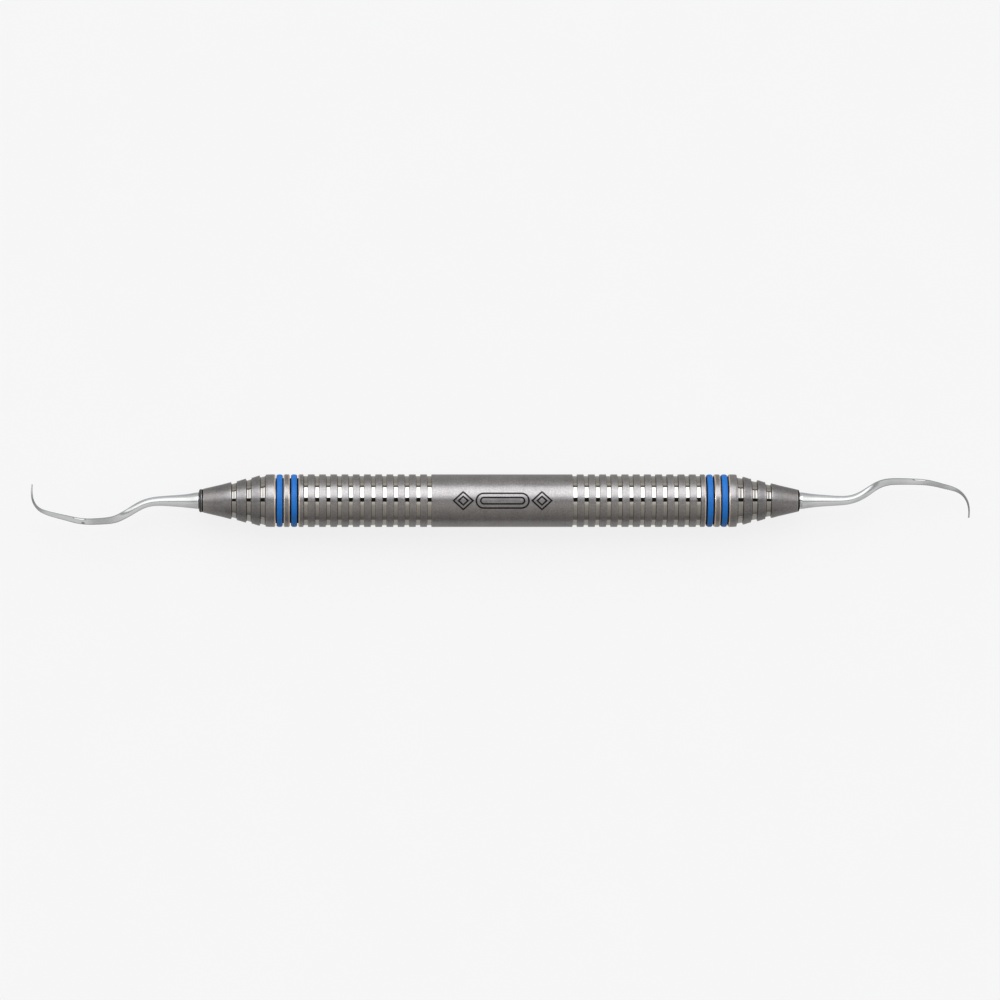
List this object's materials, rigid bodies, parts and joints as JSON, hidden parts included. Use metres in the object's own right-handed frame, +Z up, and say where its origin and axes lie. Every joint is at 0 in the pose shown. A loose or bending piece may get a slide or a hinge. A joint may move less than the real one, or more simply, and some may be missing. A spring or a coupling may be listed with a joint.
{
  "type": "hand scaler",
  "caption": "Double-ended dental hand scaler: round grooved hollow steel handle, tapered nose cones, blue silicone ring bands and bent mirror-image hooked blades.",
  "frame": {"origin": "middle of the handle on its axis, which is also the middle of the overall box", "axes": "+X along the handle from end A (longer cone with a collar) to end B; +Y in the plane of the shank bends; +Z up, away from the surface the tool lies on"},
  "size_m": [0.1701, 0.0096, 0.0096],
  "materials": {
    "satin_steel": "fine bead-blasted satin on the lands, turned and bright in the grooves",
    "polished_steel": "polished, with fine grinding lines on the blade",
    "blue_silicone": "soft satin silicone",
    "epoxy": "cured adhesive, amber"
  },
  "bodies": {
    "root": {"handle_tube": "satin_steel", "nose_cone_a": "satin_steel", "nose_cone_b": "satin_steel", "working_end_a": "polished_steel", "working_end_b": "polished_steel", "color_ring_a_inner": "blue_silicone", "color_ring_a_outer": "blue_silicone", "color_ring_b_inner": "blue_silicone", "color_ring_b_outer": "blue_silicone", "tang_bond_a": "epoxy", "tang_bond_b": "epoxy", "cone_bond_a": "epoxy", "cone_bond_b": "epoxy"}
  },
  "joints": []
}
